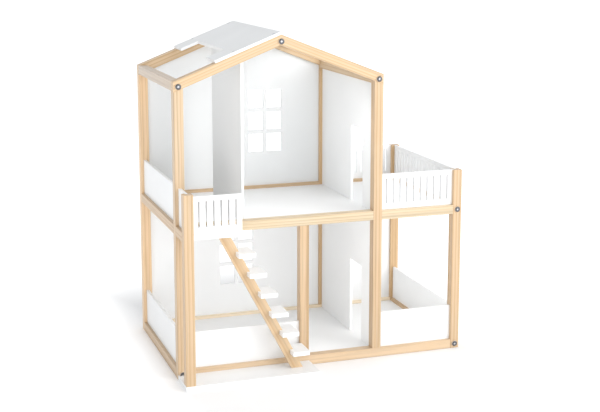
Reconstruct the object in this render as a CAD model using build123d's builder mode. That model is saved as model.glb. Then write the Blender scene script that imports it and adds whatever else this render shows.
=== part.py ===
from build123d import *
import os
from math import atan, cos, sin

# Wooden dollhouse: a gabled two-storey house with a one-storey annex on its right, framed in
# square pine sticks and closed with thin white boards that sit in grooves in the sticks. A deck,
# a balcony and a steep stair on one bar stand in front of its left half.
# Millimetres. X runs along the front, Y into the house, Z up, and the origin is on the ground
# under the middle of the whole.

# ---- driving dimensions ----
STICK = 20  # side of a frame stick
BOARD = 6  # thickness of the white boards
SLAB = 10  # thickness of the deck and of the balcony floor
HOUSE_W = 450  # outside width of the gabled house
ANNEX_W = 187  # width that the annex adds
HOUSE_D = 360  # outside depth of both
FLOOR_Z = 325  # top of the sticks round the upper floor
EAVE_Z = 617  # roof line above a side wall's outer face
RIDGE_Z = 705  # roof line at the ridge
RAIL_H = 77  # height of a parapet or railing above its stick
BALCONY_RAIL_H = 76  # the same above the balcony floor
TERRACE_D = 72  # depth of the deck and of the balcony
DECK_L = 285
BALCONY_L = 121  # from the house's left face to the balcony's open end
BALCONY_Z = 311  # underside of the balcony floor
CENTER_POST_X = 265  # from the house's left face
PARTITION_X = 144  # from the house's left face
PARTITION_D = 228  # from the front frame, which leaves a way round its back edge

GROOVE = 5  # depth of a board's edge in a stick
RAFTER_GROOVE = 4
FLOOR_HOUSING = 2  # depth of the partition's foot in the upper floor
STUB_H = 14  # height of the partition's stub tenon in the rafter
TENON = 9  # side of the square stub tenons
TENON_L = 5
ROUND = 0.8  # radius along a stick's edges

DOOR_W, DOOR_H, DOOR_Y = 70, 170, 82
PANE_W, PANE_H, MUNTIN = 36.5, 43.5, 8
COLUMNS, ROWS = 2, 3
LOWER_WINDOW_Z, UPPER_WINDOW_Z = 165, 477  # middles of the windows
UPPER_WINDOW_SHIFT = 72  # the upper window's middle, right of the ridge

SLOT_W, SLOT_MARGIN, SLOT_LOW, SLOT_HIGH = 4, 12.4, 13, 10
SHORT_SLOTS, LONG_SLOTS, BALCONY_SLOTS = 10, 19, 6

PANEL_RUN = 138  # width of a roof panel in plan
NOTCH_RUN = 38  # depth in plan of the cut-out in a roof panel's lower edge
NOTCH_MARGIN = 70  # what the cut-out leaves at either end

BAR_W, BAR_T, BAR_FOOT_X = 24.5, 9, 235  # level width, thickness, and foot of the stair's bar
BAR_SLANT = 0.527  # run of the bar per unit of height
HOUSING = 3  # depth of the bar's ends in the deck and in the balcony floor
STAIR_OUT = 29  # from the house's front to the middle of the stair
TREADS, TREAD_RISE, TREAD_L, TREAD_D, TREAD_T = 6, 43.9, 36, 55, 9
FIRST_TREAD_Z = 51  # top of the lowest tread
TREAD_INSET = 6.5  # how far a tread's upper edge is let into the bar

BOLT_D, BOLT_L, HEAD_D, HEAD_H = 6, 36, 12.6, 3.6
HEX_D, HEX_DEPTH = 4.6, 2.2  # socket across its corners, and its depth
BOLT_HOLE, BOLT_DEPTH = 6.5, 38
NUT_D, NUT_L, NUT_BORE = 8.4, 15, 6.2
DOWEL_D, DOWEL_L, DOWELS = 5, 20, 3
SCREW_D, SCREW_L, SCREW_HEAD_D, SCREW_HEAD_H = 3, 16, 6.4, 1.8
SCREW_REACH = (13, 98)  # from the ridge, in plan, to the two screws at a panel's end
CLEARANCE = 0.2  # on the diameter of a dowel's or a screw's hole

# ---- derived positions ----
LEFT = -(HOUSE_W + ANNEX_W) / 2
RIGHT = -LEFT
FRONT = -(HOUSE_D + HEAD_H - TERRACE_D) / 2
BACK = FRONT + HOUSE_D
HOUSE_RIGHT = LEFT + HOUSE_W
RIDGE_X = LEFT + HOUSE_W / 2
TERRACE_Y = FRONT - TERRACE_D

LEFT_IN, HOUSE_RIGHT_IN, RIGHT_IN = LEFT + STICK, HOUSE_RIGHT - STICK, RIGHT - STICK
FRONT_IN, BACK_IN = FRONT + STICK, BACK - STICK
CENTER_X = LEFT + CENTER_POST_X
BEAM_Z = FLOOR_Z - STICK
RAIL_TOP, PARAPET_TOP = FLOOR_Z + RAIL_H, STICK + RAIL_H
EAVE_RAIL_Z = EAVE_Z - STICK

MID = (STICK - BOARD) / 2  # from a stick's face to the board in its middle
BASE_TOP = MID + BOARD  # walking level downstairs
FLOOR_LOW, FLOOR_TOP = BEAM_Z + MID, BEAM_Z + MID + BOARD
BALCONY_TOP = BALCONY_Z + SLAB

HALF_W = HOUSE_W / 2
PITCH = (RIDGE_Z - EAVE_Z) / HALF_W
SLOPE = atan(PITCH)
RAFTER_H = STICK / cos(SLOPE)  # a rafter's height, measured plumb
PANEL_H = BOARD / cos(SLOPE)
RIDGE_RAIL_TOP = RIDGE_Z - PITCH * STICK / 2

os.makedirs("parts", exist_ok=True)
PARTS = {}


def keep(block, label):
    """Names and writes a finished piece, and stores it for the pieces that it is let into."""
    block.part.label = label
    export_step(block.part, f"parts/{label}.step")
    PARTS[label] = block.part


def middle(low, high):
    return tuple((a + b) / 2 for a, b in zip(low, high))


def span(low, high):
    return tuple(b - a for a, b in zip(low, high))


def board(label, low, high, mates=()):
    """A rectangular board or slab between two corners. The mates are let into it."""
    with BuildPart() as plate:
        with Locations(middle(low, high)):
            Box(*span(low, high))
        for mate in mates:
            add(PARTS[mate], mode=Mode.SUBTRACT)
    keep(plate, label)


def stick(label, low, high, tenons="", mates=(), cut=None):
    """A square stick between two corners, rounded along its length. "lh" gives it stub tenons
    at its low and high ends. The mates are let into it, and a plane may cut its top."""
    size, place = span(low, high), middle(low, high)
    along = size.index(max(size))
    with BuildPart() as bar:
        with Locations(place):
            Box(*size)
        fillet(bar.edges().filter_by((Axis.X, Axis.Y, Axis.Z)[along]), ROUND)
        if cut:
            split(bisect_by=cut, keep=Keep.BOTTOM)
        for end, corner in (("l", low), ("h", high)):
            if end in tenons:
                stub = [TENON] * 3
                stub[along] = 2 * TENON_L
                at = list(place)
                at[along] = corner[along]
                with Locations(tuple(at)):
                    Box(*stub)
        for mate in mates:
            add(PARTS[mate], mode=Mode.SUBTRACT)
    keep(bar, label)


def window_panes(x, z):
    """The openings of a window in a back wall, as solids to subtract."""
    with BuildPart() as panes:
        with BuildSketch(Plane.XZ.offset(-BACK_IN)):
            with Locations((x, z)):
                with GridLocations(PANE_W + MUNTIN, PANE_H + MUNTIN, COLUMNS, ROWS):
                    Rectangle(PANE_W, PANE_H)
        extrude(amount=-STICK)
    return panes.part


def railing(label, low, high, along, first, last, slots, sill):
    """A board with a row of upright slots between its two visible ends. Sill is the level that
    the railing stands on."""
    place = list(middle(low, high))
    place[along] = (first + last) / 2
    place[2] = (sill + SLOT_LOW + high[2] - SLOT_HIGH) / 2
    slot = [2 * BOARD, 2 * BOARD, high[2] - SLOT_HIGH - sill - SLOT_LOW]
    slot[along] = SLOT_W
    pitch = (last - first - 2 * SLOT_MARGIN) / (slots - 1)
    with BuildPart() as fence:
        with Locations(middle(low, high)):
            Box(*span(low, high))
        for i in range(slots):
            place[along] = first + SLOT_MARGIN + i * pitch
            with Locations(tuple(place)):
                Box(*slot, mode=Mode.SUBTRACT)
    keep(fence, label)


def roof_plane(side, drop):
    """The plane of a rafter's top, lowered plumb by drop. Side is -1 left and 1 right."""
    z_dir = (side * sin(SLOPE), 0, cos(SLOPE))
    return Plane(origin=(RIDGE_X, 0, RIDGE_Z - drop), z_dir=z_dir)


# ---- fasteners ----
# Bolts go through the front and back frames into sleeve nuts in the ends of the depth rails.
LOW_Z, FLOOR_BOLT_Z, EAVE_BOLT_Z = STICK / 2, FLOOR_Z - STICK / 2, EAVE_Z - STICK / 2
HALF = STICK / 2
RIDGE_BOLT_Z = RIDGE_RAIL_TOP - HALF
BOLT_PLACES = [
    (LEFT + HALF, LOW_Z),
    (LEFT + HALF, EAVE_BOLT_Z),
    (RIDGE_X, RIDGE_BOLT_Z),
    (HOUSE_RIGHT - HALF, EAVE_BOLT_Z),
    (RIGHT - HALF, FLOOR_BOLT_Z),
    (RIGHT - HALF, LOW_Z),
]
BACK_BOLT_PLACES = BOLT_PLACES + [(LEFT + HALF, FLOOR_BOLT_Z)]
# each frame's outer face, looking into the frame, with the bolts that it takes
ROWS_OF_BOLTS = [
    (Plane(origin=(0, FRONT, 0), x_dir=(1, 0, 0), z_dir=(0, -1, 0)), BOLT_PLACES, 1),
    (Plane(origin=(0, BACK, 0), x_dir=(-1, 0, 0), z_dir=(0, 1, 0)), BACK_BOLT_PLACES, -1),
]

with BuildPart() as frame_bolts:
    for face, places, turn in ROWS_OF_BOLTS:
        spots = [(turn * x, z) for x, z in places]
        with BuildSketch(face):
            with Locations(*spots):
                Circle(BOLT_D / 2)
        extrude(amount=-BOLT_L)
        with BuildSketch(face):
            with Locations(*spots):
                Circle(HEAD_D / 2)
        extrude(amount=HEAD_H)
    rims = frame_bolts.edges().filter_by(GeomType.CIRCLE)
    rims = rims.filter_by(lambda e: e.radius > BOLT_D and not FRONT <= e.center().Y <= BACK)
    fillet(rims, HEAD_H * 0.7)
    for face, places, turn in ROWS_OF_BOLTS:
        with BuildSketch(face.offset(HEAD_H)):
            with Locations(*[(turn * x, z) for x, z in places]):
                RegularPolygon(HEX_D / 2, 6)
        extrude(amount=-HEX_DEPTH, mode=Mode.SUBTRACT)
keep(frame_bolts, "frame_bolts")

with BuildPart() as frame_nuts:
    for face, places, turn in ROWS_OF_BOLTS:
        with BuildSketch(face.offset(-STICK)):
            with Locations(*[(turn * x, z) for x, z in places]):
                Circle(NUT_D / 2)
                Circle(NUT_BORE / 2, mode=Mode.SUBTRACT)
        extrude(amount=-NUT_L)
keep(frame_nuts, "frame_nuts")

with BuildPart() as bolt_holes:
    for face, places, turn in ROWS_OF_BOLTS:
        with BuildSketch(face):
            with Locations(*[(turn * x, z) for x, z in places]):
                Circle(BOLT_HOLE / 2)
        extrude(amount=-BOLT_DEPTH)
PARTS["bolt_holes"] = bolt_holes.part

# Hidden dowels between the deck and the front base rail.
DOWEL_PLANE = Plane.XZ.offset(-FRONT)
DOWEL_SPOTS = [(LEFT + (i + 1) * DECK_L / (DOWELS + 1), SLAB / 2) for i in range(DOWELS)]
with BuildPart() as deck_dowels:
    with BuildSketch(DOWEL_PLANE):
        with Locations(*DOWEL_SPOTS):
            Circle(DOWEL_D / 2)
    extrude(amount=DOWEL_L / 2, both=True)
keep(deck_dowels, "deck_dowels")
with BuildPart() as dowel_holes:
    with BuildSketch(DOWEL_PLANE):
        with Locations(*DOWEL_SPOTS):
            Circle((DOWEL_D + CLEARANCE) / 2)
    extrude(amount=DOWEL_L / 2, both=True)
PARTS["dowel_holes"] = dowel_holes.part

# Countersunk screws hold the roof panels' ends to the rafters.
SCREW_SPOTS = [
    (reach / cos(SLOPE), y) for reach in SCREW_REACH for y in (FRONT + HALF, BACK - HALF)
]


def screws(gap):
    """Screws through both roof panels, as wide as gap adds to their diameters."""
    with BuildPart() as group:
        for side in (-1, 1):
            top = roof_plane(side, -PANEL_H)
            top = Plane(origin=top.origin, x_dir=(side * cos(SLOPE), 0, -sin(SLOPE)), z_dir=top.z_dir)
            with BuildSketch(top):
                with Locations(*[(u, side * y) for u, y in SCREW_SPOTS]):
                    Circle((SCREW_D + gap) / 2)
            extrude(amount=-SCREW_L)
            with BuildSketch(top):
                with Locations(*[(u, side * y) for u, y in SCREW_SPOTS]):
                    Circle((SCREW_HEAD_D + gap) / 2)
            extrude(amount=-SCREW_HEAD_H)
    return group


roof_screws = screws(0)
keep(roof_screws, "roof_screws")
screw_holes = screws(CLEARANCE)
PARTS["screw_holes"] = screw_holes.part

# ---- floors ----
FLOOR_LO = (LEFT_IN - GROOVE, FRONT_IN - GROOVE)
FLOOR_HI = (RIGHT_IN + GROOVE, BACK_IN + GROOVE)
board("base_floor", (*FLOOR_LO, MID), (*FLOOR_HI, BASE_TOP))

# The partition stands in a shallow housing in the upper floor, and a stub on its front edge is let
# into the front rafter.
with BuildPart() as partition:
    x = LEFT + PARTITION_X
    low, high = (x, FRONT_IN, FLOOR_TOP - FLOOR_HOUSING), (x + BOARD, FRONT_IN + PARTITION_D, RIDGE_Z)
    with Locations(middle(low, high)):
        Box(*span(low, high))
    split(bisect_by=roof_plane(-1, 0), keep=Keep.BOTTOM)
    stub_x = x + BOARD / 2
    with Locations((stub_x, FRONT_IN, RIDGE_Z - PITCH * (RIDGE_X - stub_x) - RAFTER_H / 2)):
        Box(BOARD, 2 * RAFTER_GROOVE, STUB_H)
keep(partition, "partition")
board("upper_floor", (*FLOOR_LO, FLOOR_LOW), (*FLOOR_HI, FLOOR_TOP), ("partition",))

# ---- back walls, with a window each in the house ----
BACK_WALL_Y = (BACK_IN + MID, BACK_IN + MID + BOARD)
LOWER_PANES = window_panes(RIDGE_X, LOWER_WINDOW_Z)
UPPER_PANES = window_panes(RIDGE_X + UPPER_WINDOW_SHIFT, UPPER_WINDOW_Z)
LOWER_LO, LOWER_HI = STICK - GROOVE, BEAM_Z + GROOVE
with BuildPart() as lower_back_wall:
    low = (LEFT_IN - GROOVE, BACK_WALL_Y[0], LOWER_LO)
    high = (HOUSE_RIGHT_IN + GROOVE, BACK_WALL_Y[1], LOWER_HI)
    with Locations(middle(low, high)):
        Box(*span(low, high))
    add(LOWER_PANES, mode=Mode.SUBTRACT)
keep(lower_back_wall, "lower_back_wall")

TONGUE_DROP = RAFTER_H - RAFTER_GROOVE
with BuildPart() as upper_back_wall:
    with BuildSketch(Plane.XZ.offset(-BACK_WALL_Y[0])):
        with BuildLine():
            reach = HALF_W - STICK + GROOVE
            corner_z = RIDGE_Z - TONGUE_DROP - PITCH * reach
            Polyline(
                (RIDGE_X - reach, FLOOR_Z - GROOVE),
                (RIDGE_X + reach, FLOOR_Z - GROOVE),
                (RIDGE_X + reach, corner_z),
                (RIDGE_X, RIDGE_Z - TONGUE_DROP),
                (RIDGE_X - reach, corner_z),
                close=True,
            )
        make_face()
    extrude(amount=-BOARD)
    add(UPPER_PANES, mode=Mode.SUBTRACT)
keep(upper_back_wall, "upper_back_wall")

ANNEX_LO_X, ANNEX_HI_X = HOUSE_RIGHT - GROOVE, RIGHT_IN + GROOVE
board(
    "annex_back_panel",
    (ANNEX_LO_X, BACK_WALL_Y[0], LOWER_LO),
    (ANNEX_HI_X, BACK_WALL_Y[1], LOWER_HI),
)

# ---- walls across the house, with a doorway each on the annex's side ----
RIGHT_WALL_X = (HOUSE_RIGHT_IN + MID, HOUSE_RIGHT_IN + MID + BOARD)


def right_wall(label, bottom, top):
    low = (RIGHT_WALL_X[0], FRONT_IN - GROOVE, bottom)
    high = (RIGHT_WALL_X[1], BACK_IN + GROOVE, top)
    with BuildPart() as wall:
        with Locations(middle(low, high)):
            Box(*span(low, high))
        with BuildSketch(Plane.YZ.offset(RIGHT_WALL_X[0])):
            with Locations((FRONT + DOOR_Y + DOOR_W / 2, bottom)):
                Rectangle(DOOR_W, 2 * DOOR_H)
        extrude(amount=BOARD, mode=Mode.SUBTRACT)
    keep(wall, label)


right_wall("lower_right_wall", BASE_TOP, FLOOR_LOW)
right_wall("upper_right_wall", FLOOR_TOP, EAVE_RAIL_Z + GROOVE)

# ---- parapets and railings ----
LEFT_RAIL_X = (LEFT + MID, LEFT + MID + BOARD)
SIDE_RAIL_X = (RIGHT - MID - BOARD, RIGHT - MID)
FRONT_RAIL_Y = (FRONT + MID, FRONT + MID + BOARD)
DEPTH = (FRONT_IN - GROOVE, BACK_IN + GROOVE)
PARAPET_Z = (STICK - GROOVE, PARAPET_TOP)
RAILING_Z = (FLOOR_Z - GROOVE, RAIL_TOP)


def corners(xs, ys, zs):
    """The low and the high corner of a box that is given by its three ranges."""
    return zip(xs, ys, zs)


board("left_parapet_lower", *corners(LEFT_RAIL_X, DEPTH, PARAPET_Z))
board("left_parapet_upper", *corners(LEFT_RAIL_X, DEPTH, RAILING_Z))
board(
    "front_left_parapet",
    *corners((LEFT_IN - GROOVE, CENTER_X + GROOVE), FRONT_RAIL_Y, PARAPET_Z),
)
board("annex_front_parapet", *corners((ANNEX_LO_X, ANNEX_HI_X), FRONT_RAIL_Y, PARAPET_Z))
board("annex_side_parapet", *corners(SIDE_RAIL_X, DEPTH, PARAPET_Z))

ANNEX_IN = (HOUSE_RIGHT, RIGHT_IN)
for label, ys in (("annex_front_railing", FRONT_RAIL_Y), ("annex_back_railing", BACK_WALL_Y)):
    box = corners((ANNEX_LO_X, ANNEX_HI_X), ys, RAILING_Z)
    railing(label, *box, 0, *ANNEX_IN, SHORT_SLOTS, FLOOR_Z)
box = corners(SIDE_RAIL_X, DEPTH, RAILING_Z)
railing("annex_side_railing", *box, 1, FRONT_IN, BACK_IN, LONG_SLOTS, FLOOR_Z)

BALCONY_END = LEFT + BALCONY_L
BALCONY_FENCE_Y = (TERRACE_Y + MID, TERRACE_Y + MID + BOARD)
BALCONY_FENCE_Z = (BALCONY_TOP - GROOVE, BALCONY_TOP + BALCONY_RAIL_H)
box = corners((LEFT_IN - GROOVE, BALCONY_END), BALCONY_FENCE_Y, BALCONY_FENCE_Z)
railing("balcony_front_railing", *box, 0, LEFT_IN, BALCONY_END, BALCONY_SLOTS, BALCONY_TOP)
SIDE_FENCE_Y = (TERRACE_Y + STICK - GROOVE, FRONT + GROOVE)
board("balcony_side_railing", *corners(LEFT_RAIL_X, SIDE_FENCE_Y, RAILING_Z))

# ---- stair: treads let into one slanting bar ----
STAIR_Y = FRONT - STAIR_OUT
BAR_FOOT = LEFT + BAR_FOOT_X


def bar_x(z):
    """The left edge of the stair's bar at a level."""
    return BAR_FOOT - BAR_SLANT * (z - SLAB)


TREAD_LABELS = [f"stair_tread_{i + 1}" for i in range(TREADS)]
for i, label in enumerate(TREAD_LABELS):
    z = FIRST_TREAD_Z + i * TREAD_RISE
    x = bar_x(z) + BAR_W - TREAD_INSET
    board(
        label,
        (x, STAIR_Y - TREAD_D / 2, z - TREAD_T),
        (x + TREAD_L, STAIR_Y + TREAD_D / 2, z),
    )

with BuildPart() as stair_stringer:
    foot, head = SLAB - HOUSING, BALCONY_Z + HOUSING
    with BuildSketch(Plane.XZ.offset(-STAIR_Y)):
        with BuildLine():
            Polyline(
                (bar_x(foot), foot),
                (bar_x(foot) + BAR_W, foot),
                (bar_x(head) + BAR_W, head),
                (bar_x(head), head),
                close=True,
            )
        make_face()
    extrude(amount=BAR_T / 2, both=True)
    for label in TREAD_LABELS:
        add(PARTS[label], mode=Mode.SUBTRACT)
keep(stair_stringer, "stair_stringer")

# ---- deck and balcony ----
board(
    "balcony_floor",
    (LEFT_IN, TERRACE_Y, BALCONY_Z),
    (BALCONY_END, FRONT + GROOVE, BALCONY_TOP),
    ("balcony_front_railing", "stair_stringer"),
)
TERRACE_POST_Y = (TERRACE_Y, TERRACE_Y + STICK)
stick(
    "balcony_side_rail",
    *corners((LEFT, LEFT_IN), (TERRACE_POST_Y[1], FRONT), (BEAM_Z, FLOOR_Z)),
    tenons="lh",
    mates=("balcony_side_railing",),
)
stick(
    "terrace_post",
    *corners((LEFT, LEFT_IN), TERRACE_POST_Y, (SLAB, RAIL_TOP)),
    tenons="l",
    mates=("balcony_side_rail", "balcony_side_railing", "balcony_front_railing"),
)
with BuildPart() as terrace_deck:
    low, high = (LEFT, TERRACE_Y, 0), (LEFT + DECK_L, FRONT, SLAB)
    with Locations(middle(low, high)):
        Box(*span(low, high))
    for mate in ("terrace_post", "stair_stringer", "dowel_holes"):
        add(PARTS[mate], mode=Mode.SUBTRACT)
    # relief for the bolt head behind the deck's corner
    with BuildSketch(DOWEL_PLANE):
        with Locations((LEFT + HALF, LOW_Z)):
            Circle(HEAD_D / 2 + 1)
    extrude(amount=HEAD_H + 1, mode=Mode.SUBTRACT)
keep(terrace_deck, "terrace_deck")

# ---- rails that run into the depth ----
RAIL_Y = (FRONT_IN, BACK_IN)
BASE_Z, BEAM_ZS, EAVE_ZS = (0, STICK), (BEAM_Z, FLOOR_Z), (EAVE_RAIL_Z, EAVE_Z)
LEFT_XS, HOUSE_RIGHT_XS, RIGHT_XS = (LEFT, LEFT_IN), (HOUSE_RIGHT_IN, HOUSE_RIGHT), (RIGHT_IN, RIGHT)
BOLTED = ("frame_nuts", "bolt_holes")
stick(
    "left_base_rail",
    *corners(LEFT_XS, RAIL_Y, BASE_Z),
    mates=("base_floor", "left_parapet_lower", *BOLTED),
)
stick(
    "annex_side_base_rail",
    *corners(RIGHT_XS, RAIL_Y, BASE_Z),
    mates=("base_floor", "annex_side_parapet", *BOLTED),
)
stick(
    "left_floor_rail",
    *corners(LEFT_XS, RAIL_Y, BEAM_ZS),
    tenons="l",
    mates=("upper_floor", "left_parapet_upper", *BOLTED),
)
stick(
    "annex_side_beam",
    *corners(RIGHT_XS, RAIL_Y, BEAM_ZS),
    mates=("upper_floor", "annex_side_railing", *BOLTED),
)
stick("left_eave_rail", *corners(LEFT_XS, RAIL_Y, EAVE_ZS), mates=BOLTED)
stick(
    "right_eave_rail",
    *corners(HOUSE_RIGHT_XS, RAIL_Y, EAVE_ZS),
    mates=("upper_right_wall", *BOLTED),
)
RIDGE_XS, RIDGE_ZS = (RIDGE_X - HALF, RIDGE_X + HALF), (RIDGE_RAIL_TOP - STICK, RIDGE_RAIL_TOP)
stick("ridge_rail", *corners(RIDGE_XS, RAIL_Y, RIDGE_ZS), mates=BOLTED)

# ---- front frame and back frame ----
FRAMES = {
    "front": {
        "ys": (FRONT, FRONT_IN),
        "base": ("front_left_parapet", "annex_front_parapet", "lower_right_wall", "dowel_holes"),
        "beam": ("balcony_floor",),
        "annex_beam": ("annex_front_railing",),
        "left": ("front_left_parapet", "balcony_side_rail", "balcony_side_railing"),
        "left_rail": ("left_floor_rail",),
        "right": ("annex_front_parapet", "annex_front_railing"),
        "rafter": ("partition",),
    },
    "back": {
        "ys": (BACK_IN, BACK),
        "base": ("lower_back_wall", "annex_back_panel", "lower_right_wall"),
        "beam": ("lower_back_wall", "upper_back_wall"),
        "annex_beam": ("annex_back_panel", "annex_back_railing"),
        "left": ("lower_back_wall", "upper_back_wall"),
        "left_rail": (),
        "right": ("annex_back_panel", "annex_back_railing"),
        "rafter": ("upper_back_wall",),
    },
}
for frame, own in FRAMES.items():
    ys = own["ys"]
    beam, annex_beam = f"{frame}_floor_beam", f"annex_{frame}_beam"
    base = f"{frame}_base_rail"
    right_posts = ["lower_right_wall", "upper_right_wall", "upper_floor"]

    # beams at the upper floor
    if frame == "front":
        stick(
            "front_center_post",
            *corners((CENTER_X, CENTER_X + STICK), ys, (STICK, BEAM_Z)),
            tenons="lh",
            mates=("front_left_parapet",),
        )
        own["beam"] += ("front_center_post",)
        own["base"] += ("front_center_post",)
    stick(
        beam,
        *corners((LEFT_IN, HOUSE_RIGHT_IN), ys, BEAM_ZS),
        tenons="lh",
        mates=("upper_floor", *own["beam"]),
    )
    stick(
        annex_beam,
        *corners(ANNEX_IN, ys, BEAM_ZS),
        tenons="lh",
        mates=("upper_floor", *own["annex_beam"]),
    )

    # the house's right post stands on the base rail
    walls = own["right"] if frame == "front" else own["right"] + own["left"]
    stick(
        f"{frame}_right_post",
        *corners(HOUSE_RIGHT_XS, ys, (STICK, EAVE_Z)),
        tenons="l",
        mates=(beam, annex_beam, *right_posts, *walls),
        cut=roof_plane(1, RAFTER_H),
    )
    stick(
        base,
        *corners((LEFT_IN, RIGHT_IN), ys, BASE_Z),
        tenons="lh",
        mates=("base_floor", f"{frame}_right_post", *own["base"]),
    )

    # corner posts stand on the ground
    stick(
        f"{frame}_left_post",
        *corners(LEFT_XS, ys, (0, EAVE_Z)),
        mates=(
            *("base_floor", "upper_floor", "left_parapet_lower", "left_parapet_upper"),
            *(base, beam, *own["left"], *own["left_rail"], "bolt_holes"),
        ),
        cut=roof_plane(-1, RAFTER_H),
    )
    stick(
        f"annex_{frame}_post",
        *corners(RIGHT_XS, ys, (0, RAIL_TOP)),
        mates=(
            *("base_floor", "upper_floor", "annex_side_parapet", "annex_side_railing"),
            *(base, annex_beam, *own["right"], "bolt_holes"),
        ),
    )

    # rafters meet in a plumb joint at the ridge
    for side, name in ((-1, "left"), (1, "right")):
        with BuildPart() as rafter:
            with BuildSketch(Plane.XZ.offset(-ys[0])):
                with BuildLine():
                    eave_x = RIDGE_X + side * HALF_W
                    Polyline(
                        (RIDGE_X, RIDGE_Z),
                        (eave_x, EAVE_Z),
                        (eave_x, EAVE_Z - RAFTER_H),
                        (RIDGE_X, RIDGE_Z - RAFTER_H),
                        close=True,
                    )
                make_face()
            extrude(amount=-STICK)
            run = Axis((0, 0, 0), (cos(SLOPE), 0, -side * sin(SLOPE)))
            fillet(rafter.edges().filter_by(run), ROUND)
            for mate in (*own["rafter"], "upper_right_wall", "bolt_holes", "screw_holes"):
                add(PARTS[mate], mode=Mode.SUBTRACT)
        keep(rafter, f"{frame}_{name}_rafter")

# ---- roof panels: on the rafters, open towards the eaves ----
for side, name in ((-1, "left"), (1, "right")):
    with BuildPart() as panel:
        edge_x = RIDGE_X + side * PANEL_RUN
        edge_z = RIDGE_Z - PITCH * PANEL_RUN
        with BuildSketch(Plane.XZ.offset(-FRONT)):
            with BuildLine():
                Polyline(
                    (RIDGE_X, RIDGE_Z),
                    (edge_x, edge_z),
                    (edge_x + side * sin(SLOPE) * BOARD, edge_z + BOARD * cos(SLOPE)),
                    (RIDGE_X, RIDGE_Z + PANEL_H),
                    close=True,
                )
            make_face()
        extrude(amount=-HOUSE_D)
        notch_low = (min(edge_x - side * NOTCH_RUN, edge_x + side * BOARD), FRONT + NOTCH_MARGIN)
        notch_high = (max(edge_x - side * NOTCH_RUN, edge_x + side * BOARD), BACK - NOTCH_MARGIN)
        with BuildSketch(Plane.XY.offset(EAVE_Z)):
            with Locations(middle(notch_low, notch_high)):
                Rectangle(*span(notch_low, notch_high))
        extrude(amount=RIDGE_Z - EAVE_Z + STICK, mode=Mode.SUBTRACT)
        add(PARTS["screw_holes"], mode=Mode.SUBTRACT)
    keep(panel, f"roof_panel_{name}")
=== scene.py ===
import math

import bpy
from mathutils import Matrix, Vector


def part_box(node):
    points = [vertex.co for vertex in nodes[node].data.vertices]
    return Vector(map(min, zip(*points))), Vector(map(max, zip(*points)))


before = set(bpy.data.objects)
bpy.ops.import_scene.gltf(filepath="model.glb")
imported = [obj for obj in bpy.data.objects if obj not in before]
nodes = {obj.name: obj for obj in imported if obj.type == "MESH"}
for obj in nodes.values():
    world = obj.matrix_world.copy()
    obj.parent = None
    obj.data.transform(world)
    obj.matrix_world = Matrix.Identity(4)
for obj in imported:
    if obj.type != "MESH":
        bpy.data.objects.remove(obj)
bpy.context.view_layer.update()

# Lengths are in metres and +Z is up. Angles are in degrees, apart from these two.
ROOF_SLOPE = math.atan2(88, 225)  # the rise and run of the rafters
STAIR_SLANT = math.atan(0.527)  # the run of the stair's bar for each unit of height


# ---- node helpers ----
def new_material(name):
    material = bpy.data.materials.new(name)
    material.use_nodes = True
    tree = material.node_tree
    tree.nodes.clear()
    output = tree.nodes.new("ShaderNodeOutputMaterial")
    shader = tree.nodes.new("ShaderNodeBsdfPrincipled")
    tree.links.new(shader.outputs["BSDF"], output.inputs["Surface"])
    return material, tree, shader


def set_input(tree, socket, value):
    """Links a socket to another one, or gives it a plain value."""
    if isinstance(value, bpy.types.NodeSocket):
        tree.links.new(value, socket)
    else:
        socket.default_value = value


def add_node(tree, kind, inputs=None, **settings):
    node = tree.nodes.new(kind)
    for key, value in settings.items():
        setattr(node, key, value)
    for key, value in (inputs or {}).items():
        set_input(tree, node.inputs[key], value)
    return node


def object_place(tree):
    """A point's place in the room, because every piece has its origin there."""
    return add_node(tree, "ShaderNodeTexCoord").outputs["Object"]


def mapping(tree, place, vector_type="POINT", **changes):
    """Moves, turns or scales places before a pattern reads them."""
    inputs = {"Vector": place, **changes}
    return add_node(tree, "ShaderNodeMapping", inputs, vector_type=vector_type).outputs["Vector"]


def noise(tree, place, scale, detail, roughness=0.5):
    inputs = {"Vector": place, "Scale": scale, "Detail": detail, "Roughness": roughness}
    return add_node(tree, "ShaderNodeTexNoise", inputs).outputs["Fac"]


def calculate(tree, operation, *values):
    node = add_node(tree, "ShaderNodeMath", dict(enumerate(values)), operation=operation)
    return node.outputs["Value"]


def spread(tree, value, low, high, to_low, to_high):
    """Maps a range of values to another, and holds it outside."""
    inputs = {"Value": value, "From Min": low, "From Max": high, "To Min": to_low, "To Max": to_high}
    return add_node(tree, "ShaderNodeMapRange", inputs).outputs["Result"]


def ramp(tree, factor, *stops):
    """Colours along a factor, from stops of (position, colour or grey level)."""
    node = add_node(tree, "ShaderNodeValToRGB", {"Fac": factor})
    elements = node.color_ramp.elements
    while len(elements) < len(stops):
        elements.new(0.5)
    for element, (position, tone) in zip(elements, stops):
        colour = tone if isinstance(tone, tuple) else (tone, tone, tone)
        element.position = position
        element.color = (*colour, 1)
    return node.outputs["Color"]


def mix(tree, kind, factor, a, b):
    """Lays colour b over colour a."""
    node = add_node(tree, "ShaderNodeMix", data_type="RGBA", blend_type=kind)
    factor_socket, a_socket, b_socket = node.inputs[0], node.inputs[6], node.inputs[7]
    for socket, value in ((factor_socket, factor), (a_socket, a), (b_socket, b)):
        set_input(tree, socket, value)
    return node.outputs[2]


def bump(tree, height, strength, distance, **normal):
    inputs = {"Height": height, "Strength": strength, "Distance": distance, **normal}
    return add_node(tree, "ShaderNodeBump", inputs).outputs["Normal"]


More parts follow.
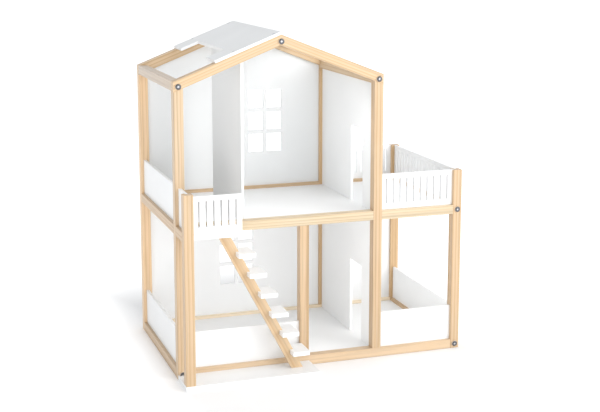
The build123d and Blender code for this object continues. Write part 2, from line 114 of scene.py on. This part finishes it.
# ---- pine ----
# Growth rings are cylinders round a pith that lies beside the stick, so its faces show straight
# lines of uneven spacing and its ends show arcs. Fibres are noise drawn out along the stick.
# Each stick's seed moves its pith, the width of its rings and its fibres.
TURN = {"X": (0, -90, 0), "Y": (90, 0, 0), "Z": (0, 0, 0)}  # brings a stick's length to Z
PITH_X, PITH_X_SWING, PITH_X_RATE = 0.021, 0.013, 2.3
PITH_Y, PITH_Y_SWING, PITH_Y_RATE = 0.030, 0.011, 1.7
PITH_Z_STEP = 0.31
RING_SCALE, RING_SWING, RING_RATE = 48.0, 9.0, 3.1
RING_WANDER = {"Distortion": 1.6, "Detail": 2.0, "Detail Scale": 1.2, "Detail Roughness": 0.55}
RING_DRAW, FIBRE_DRAW = (1, 1, 0.05), (1, 1, 0.018)  # the patterns are drawn out along Z
FIBRE_Z_RATE = 0.7
PORE_SCALE, STREAK_SCALE, CLOUD_SCALE = 1500.0, 210.0, 9.0
STREAKS, CLOUDS, PORES = 0.85, 0.8, 0.6  # how strongly each shows in the colour
WARM_CLOUD, CLEAR = (1.0, 0.955, 0.89), (1.0, 1.0, 1.0)
OIL, OIL_ROUGH = 0.25, 0.32


def pine(name, axis, seed, early, late, slope=0.0):
    """Pine from its early and late wood's colours. The slope turns the grain, in radians."""
    material, tree, shader = new_material(name)
    turn_x, turn_y, turn_z = (math.radians(angle) for angle in TURN[axis])
    along = mapping(tree, object_place(tree), "TEXTURE", Rotation=(turn_x, turn_y + slope, turn_z))
    pith = (
        PITH_X + PITH_X_SWING * math.sin(seed * PITH_X_RATE),
        PITH_Y + PITH_Y_SWING * math.cos(seed * PITH_Y_RATE),
        seed * PITH_Z_STEP,
    )
    ring_scale = RING_SCALE + RING_SWING * math.sin(seed * RING_RATE)
    ring_place = mapping(tree, along, Location=pith, Scale=RING_DRAW)
    rings = add_node(
        tree, "ShaderNodeTexWave", {"Vector": ring_place, "Scale": ring_scale, **RING_WANDER},
        wave_type="RINGS", rings_direction="Z", wave_profile="SAW",
    ).outputs["Fac"]
    drawn_out = mapping(tree, along, Location=(seed, -seed, seed * FIBRE_Z_RATE), Scale=FIBRE_DRAW)
    fibre = noise(tree, drawn_out, PORE_SCALE, 3.0, 0.6)
    streak = noise(tree, drawn_out, STREAK_SCALE, 2.0)
    cloud = noise(tree, along, CLOUD_SCALE, 2.0)

    line = ramp(tree, rings, (0.0, 0.0), (0.55, 0.22), (0.86, 0.9), (1.0, 0.1))
    wood = mix(tree, "MIX", line, (*early, 1), (*late, 1))
    dark_streaks = ramp(tree, streak, (0.3, 0.80), (0.5, 1.0), (0.7, 1.0))
    wood = mix(tree, "MULTIPLY", STREAKS, wood, dark_streaks)
    wood = mix(tree, "MULTIPLY", CLOUDS, wood, ramp(tree, cloud, (0.3, WARM_CLOUD), (0.7, CLEAR)))
    wood = mix(tree, "MULTIPLY", PORES, wood, ramp(tree, fibre, (0.28, 0.86), (0.5, 1.0)))
    set_input(tree, shader.inputs["Base Color"], wood)
    set_input(tree, shader.inputs["Roughness"], ramp(tree, fibre, (0.3, 0.52), (0.7, 0.40)))
    shader.inputs["Coat Weight"].default_value = OIL
    shader.inputs["Coat Roughness"].default_value = OIL_ROUGH
    fibre_bump = bump(tree, fibre, 0.12, 0.0002)
    set_input(tree, shader.inputs["Normal"], bump(tree, line, 0.15, 0.0001, Normal=fibre_bump))
    return material


# Each tone is the colour of the early wood and of the late wood, set for each stick from how bright
# it looks, so some tones carry painted light or painted shade, as marked below.
PALE = ((0.705, 0.585, 0.41), (0.585, 0.435, 0.265))
MEDIUM = ((0.67, 0.50, 0.325), (0.53, 0.35, 0.19))
DEEP = ((0.655, 0.48, 0.305), (0.52, 0.335, 0.175))
FAIR = ((0.68, 0.52, 0.35), (0.55, 0.385, 0.23))
WARM = ((0.70, 0.525, 0.335), (0.565, 0.375, 0.205))
LIGHT = ((0.735, 0.56, 0.38), (0.63, 0.445, 0.27))
# The next two tones are lighter copies of the pine: painted light on the back base rail and the back
# left post, which stand in shade.
BRIGHT_PAINTED_LIGHT = ((0.94, 0.82, 0.645), (0.87, 0.735, 0.55))
AMBER_PAINTED_LIGHT = ((0.84, 0.61, 0.39), (0.72, 0.49, 0.28))
# The next two tones are painted shade: a darker, more orange pine for the annex back post, back
# right post and annex side base rail, and a greyer pine for the left eave rail.
TAN_PAINTED_SHADE = ((0.63, 0.44, 0.25), (0.50, 0.32, 0.165))
DULL_PAINTED_SHADE = ((0.64, 0.535, 0.43), (0.57, 0.46, 0.36))
BEECH = ((0.62, 0.44, 0.28), (0.55, 0.36, 0.21))
BEECH_SEED = 50.0
STICKS = {
    "front_left_post": ("Z", FAIR), "back_left_post": ("Z", AMBER_PAINTED_LIGHT),
    "front_right_post": ("Z", DEEP), "back_right_post": ("Z", TAN_PAINTED_SHADE),
    "front_center_post": ("Z", DEEP), "annex_front_post": ("Z", DEEP),
    "annex_back_post": ("Z", TAN_PAINTED_SHADE), "terrace_post": ("Z", MEDIUM),
    "front_floor_beam": ("X", PALE), "back_floor_beam": ("X", MEDIUM),
    "annex_front_beam": ("X", PALE), "annex_back_beam": ("X", MEDIUM),
    "front_base_rail": ("X", LIGHT), "back_base_rail": ("X", BRIGHT_PAINTED_LIGHT),
    "left_base_rail": ("Y", MEDIUM), "annex_side_base_rail": ("Y", TAN_PAINTED_SHADE),
    "left_floor_rail": ("Y", MEDIUM), "annex_side_beam": ("Y", WARM),
    "left_eave_rail": ("Y", DULL_PAINTED_SHADE), "right_eave_rail": ("Y", WARM),
    "ridge_rail": ("Y", WARM), "balcony_side_rail": ("Y", MEDIUM),
    "front_left_rafter": ("X", WARM), "back_left_rafter": ("X", WARM),
    "front_right_rafter": ("X", WARM), "back_right_rafter": ("X", WARM),
    "stair_stringer": ("Z", WARM),
}
SLANTING = {
    "front_left_rafter": -ROOF_SLOPE, "back_left_rafter": -ROOF_SLOPE,
    "front_right_rafter": ROOF_SLOPE, "back_right_rafter": ROOF_SLOPE,
    "stair_stringer": -STAIR_SLANT,
}

# ---- white boards ----
PAINT = (0.915, 0.922, 0.925)
# A greyer copy of the white paint for the back wall and the partition: painted shade, for the shade
# deep inside the rooms.
BACK_PAINTED_SHADE = (0.83, 0.845, 0.85)
BOARDS_IN_PAINTED_SHADE = ("upper_back_wall", "partition")
THIN_PAINT = 0.975  # how bright the paint is where it is thin
PAINT_CLOUD_SCALE, ORANGE_PEEL_SCALE = 7.0, 900.0
BOARD_EDGE, RAILING_EDGE = 0.0006, 0.0003  # the width of the softened edges
WELD_DISTANCE = 1e-6
SHARP_ANGLE = 40


def white_board(name, shade):
    material, tree, shader = new_material(name)
    place = object_place(tree)
    cloud = noise(tree, place, PAINT_CLOUD_SCALE, 3.0)
    peel = noise(tree, place, ORANGE_PEEL_SCALE, 2.0)
    thin = tuple(THIN_PAINT * c for c in shade)
    set_input(tree, shader.inputs["Base Color"], ramp(tree, cloud, (0.35, thin), (0.65, shade)))
    set_input(tree, shader.inputs["Roughness"], ramp(tree, peel, (0.3, 0.46), (0.7, 0.56)))
    set_input(tree, shader.inputs["Normal"], bump(tree, peel, 0.08, 0.0001))
    return material


def soften(node, width):
    """Rounds a board's edges a little, as paint and sanding leave them."""
    weld = nodes[node].modifiers.new("weld", "WELD")
    weld.merge_threshold = WELD_DISTANCE
    bevel = nodes[node].modifiers.new("soft_edges", "BEVEL")
    bevel.width = width
    bevel.segments = 2
    bevel.limit_method = "ANGLE"
    bevel.angle_limit = math.radians(SHARP_ANGLE)


# ---- bolts, nuts and screws ----
# The bright nickel at the bottom of each bolt's socket is a painted highlight; the rest of the head
# is dark nickel.
NICKEL, NICKEL_PAINTED_HIGHLIGHT, NICKEL_ROUGH = (0.16, 0.16, 0.17), (0.85, 0.85, 0.87), 0.22
ZINC, ZINC_ROUGH = (0.62, 0.62, 0.64), 0.30
METAL_GRAIN_SCALE = 1800.0
DARK_GRAIN, ROUGH_GRAIN = 0.85, 0.12  # how dark the grain's low points are, how rough its high ones
SOCKET_FLOOR = 0.0022  # from a frame's face to a little above the bottom of a bolt's socket, which is as far as the painted highlight reaches


def steel(name, colour, rough, painted_highlight=None, painted_highlight_reach=(0, 0)):
    """Metal, which may have a painted highlight: a brighter colour within a reach in Y from a
    middle.
    """
    material, tree, shader = new_material(name)
    place = object_place(tree)
    grain = noise(tree, place, METAL_GRAIN_SCALE, 2.0)
    tone = ramp(tree, grain, (0.3, tuple(DARK_GRAIN * c for c in colour)), (0.7, colour))
    if painted_highlight:
        middle, reach = painted_highlight_reach
        depth = add_node(tree, "ShaderNodeSeparateXYZ", {"Vector": place}).outputs["Y"]
        away = calculate(tree, "ABSOLUTE", calculate(tree, "SUBTRACT", depth, middle))
        tone = mix(tree, "MIX", calculate(tree, "LESS_THAN", away, reach), tone, (*painted_highlight, 1))
    set_input(tree, shader.inputs["Base Color"], tone)
    roughness = ramp(tree, grain, (0.3, rough), (0.7, rough + ROUGH_GRAIN))
    set_input(tree, shader.inputs["Roughness"], roughness)
    shader.inputs["Metallic"].default_value = 1.0
    return material


# ---- each node's material ----
def give(node, material):
    mesh = nodes[node].data
    mesh.materials.clear()
    mesh.materials.append(material)


for number, (node, (axis, (early, late))) in enumerate(STICKS.items()):
    give(node, pine("pine_" + node, axis, number + 1.0, early, late, SLANTING.get(node, 0.0)))
paint = white_board("white_paint", PAINT)
back_painted_shade = white_board("back_painted_shade", BACK_PAINTED_SHADE)
front_face, back_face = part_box("front_left_post")[0][1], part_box("back_left_post")[1][1]
# Where the bolts' painted highlight goes: through the frame's depth and a little past its faces.
socket_painted_highlight_reach = ((front_face + back_face) / 2, (back_face - front_face) / 2 + SOCKET_FLOOR)
zinc = steel("zinc", ZINC, ZINC_ROUGH)
FITTINGS = {
    "frame_bolts": steel("bolt_nickel_painted_highlight", NICKEL, NICKEL_ROUGH, NICKEL_PAINTED_HIGHLIGHT, socket_painted_highlight_reach),
    "frame_nuts": zinc,
    "roof_screws": zinc,
    "deck_dowels": pine("beech", "Y", BEECH_SEED, *BEECH),
}
for node in nodes:
    if node in FITTINGS:
        give(node, FITTINGS[node])
    elif node not in STICKS:
        give(node, back_painted_shade if node in BOARDS_IN_PAINTED_SHADE else paint)
        soften(node, RAILING_EDGE if "railing" in node else BOARD_EDGE)

# ---- floor ----
FLOOR_SIZE, FLOOR_DROP = 60, 0.0005
FLOOR_COLOUR, FLOOR_ROUGH = (0.86, 0.86, 0.865, 1), 0.7
# Painted light on the floor, which glows: full far away, some beside and before the house, none
# behind it, so the house's shade shows only near and behind it. Each row has where a change of the
# glow starts and ends, and the glow at each.
PAINTED_GLOW = 0.45
PAINTED_GLOW_FAR = (0.45, 0.72, 0.0, 1.2 * PAINTED_GLOW)
PAINTED_GLOW_LEFT, PAINTED_GLOW_RIGHT = (-0.36, -0.28, 0.9 * PAINTED_GLOW, 0.0), (0.30, 0.44, 0.0, PAINTED_GLOW)
PAINTED_GLOW_FRONT = (-0.25, 0.20, 0.3 * PAINTED_GLOW, 0.0)
bpy.ops.mesh.primitive_plane_add(size=FLOOR_SIZE, location=(0, 0, -FLOOR_DROP))
floor = bpy.context.object
floor.name = "studio_floor"
floor_material, tree, shader = new_material("studio_floor")
shader.inputs["Base Color"].default_value = FLOOR_COLOUR
shader.inputs["Roughness"].default_value = FLOOR_ROUGH
shader.inputs["Emission Color"].default_value = (1, 1, 1, 1)
place = object_place(tree)
reach = add_node(tree, "ShaderNodeVectorMath", {0: place}, operation="LENGTH").outputs["Value"]
across = add_node(tree, "ShaderNodeSeparateXYZ", {"Vector": place})
painted_glow = spread(tree, reach, *PAINTED_GLOW_FAR)
for way, change in (("X", PAINTED_GLOW_LEFT), ("X", PAINTED_GLOW_RIGHT), ("Y", PAINTED_GLOW_FRONT)):
    painted_glow = calculate(tree, "MAXIMUM", painted_glow, spread(tree, across.outputs[way], *change))
set_input(tree, shader.inputs["Emission Strength"], painted_glow)
floor.data.materials.append(floor_material)

# ---- the studio's soft light from all round ----
SKY_COLOUR = (0.97, 0.985, 1.0, 1)
HORIZON, ZENITH = 1.42, 0.66  # its strength by height
LEFT_SIDE, RIGHT_SIDE = 0.56, 1.10  # and by side
world = bpy.data.worlds.new("studio")
world.use_nodes = True
sky = world.node_tree
background = sky.nodes["Background"]
background.inputs["Color"].default_value = SKY_COLOUR
view = add_node(sky, "ShaderNodeTexCoord").outputs["Generated"]
direction = add_node(sky, "ShaderNodeSeparateXYZ", {"Vector": view})
level = spread(sky, direction.outputs["Z"], 0.0, 1.0, HORIZON, ZENITH)
side = spread(sky, direction.outputs["X"], -1.0, 1.0, LEFT_SIDE, RIGHT_SIDE)
set_input(sky, background.inputs["Strength"], calculate(sky, "MULTIPLY", level, side))
bpy.context.scene.world = world

# ---- lights ----
AIM = (0, 0, 0.3)
GAP = 0.003  # between a room's light and the frame round it
BEDROOM_STRIP, BEDROOM_MARGIN = 0.05, 0.08  # its light's height, and how far it is from the walls
SIDE_ROOM_HEIGHT = 0.12


def add_lamp(light, location, rotation):
    lamp = bpy.data.objects.new(light.name, light)
    lamp.location = location
    lamp.rotation_euler = rotation
    bpy.context.scene.collection.objects.link(lamp)
    return lamp


def studio_light(name, azimuth, elevation, distance, size, power):
    """A soft square light: azimuth is counted from the front towards the right."""
    light = bpy.data.lights.new(name, "AREA")
    light.size = size
    light.energy = power
    a, e = math.radians(azimuth), math.radians(elevation)
    offset = (math.sin(a) * math.cos(e), -math.cos(a) * math.cos(e), math.sin(e))
    add_lamp(light, [c + distance * o for c, o in zip(AIM, offset)], (math.pi / 2 - e, 0, a))


def room_light(name, low_x, high_x, low_z, high_z, radiance, tilt=0):
    """Soft light that comes in through a room's open front, tilted down by some degrees."""
    light = bpy.data.lights.new(name, "AREA")
    light.shape = "RECTANGLE"
    light.size, light.size_y = high_x - low_x, high_z - low_z
    light.energy = math.pi * radiance * light.size * light.size_y
    middle = ((low_x + high_x) / 2, room_front, (low_z + high_z) / 2)
    add_lamp(light, middle, (math.radians(90 - tilt), 0, 0)).visible_camera = False


studio_light("key", azimuth=38, elevation=27, distance=3.5, size=3.0, power=65)
studio_light("fill", azimuth=-28, elevation=16, distance=3.5, size=2.5, power=14)

beam_low, beam_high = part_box("front_floor_beam")
right_low, right_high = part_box("front_right_post")
wall_low, wall_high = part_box("partition")
left_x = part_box("front_left_post")[1][0] + GAP
annex_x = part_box("annex_front_post")[0][0] - GAP
floor_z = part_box("front_base_rail")[1][2] + GAP
eave_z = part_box("left_eave_rail")[0][2]
room_front = beam_high[1] + GAP
ceiling_z, upper_z = beam_low[2] - GAP, beam_high[2] + GAP
strip = (
    wall_high[0] + BEDROOM_MARGIN, right_low[0] - BEDROOM_MARGIN, eave_z - BEDROOM_STRIP, eave_z
)
side_room = (left_x, wall_low[0] - GAP, upper_z, upper_z + SIDE_ROOM_HEIGHT)
room_light("hall", left_x, right_low[0] - GAP, floor_z, ceiling_z, radiance=0.46)
room_light("annex", right_high[0] + GAP, annex_x, floor_z, ceiling_z, radiance=0.58)
room_light("bedroom", *strip, radiance=7.2, tilt=62)
room_light("side_room", *side_room, radiance=0.28)

# ---- camera ----
LOOK_DOWN, LOOK_RIGHT = 9.813, 18.888
camera = bpy.data.cameras.new("camera")
camera.sensor_width = 36
camera.lens = 72.86
camera.shift_y = -0.0933
eye = bpy.data.objects.new("camera", camera)
eye.location = (-0.85311, -2.48239, 0.89317)
eye.rotation_euler = (math.radians(90 - LOOK_DOWN), 0, math.radians(-LOOK_RIGHT))
bpy.context.scene.collection.objects.link(eye)
bpy.context.scene.camera = eye

bpy.context.scene.view_settings.view_transform = "Standard"
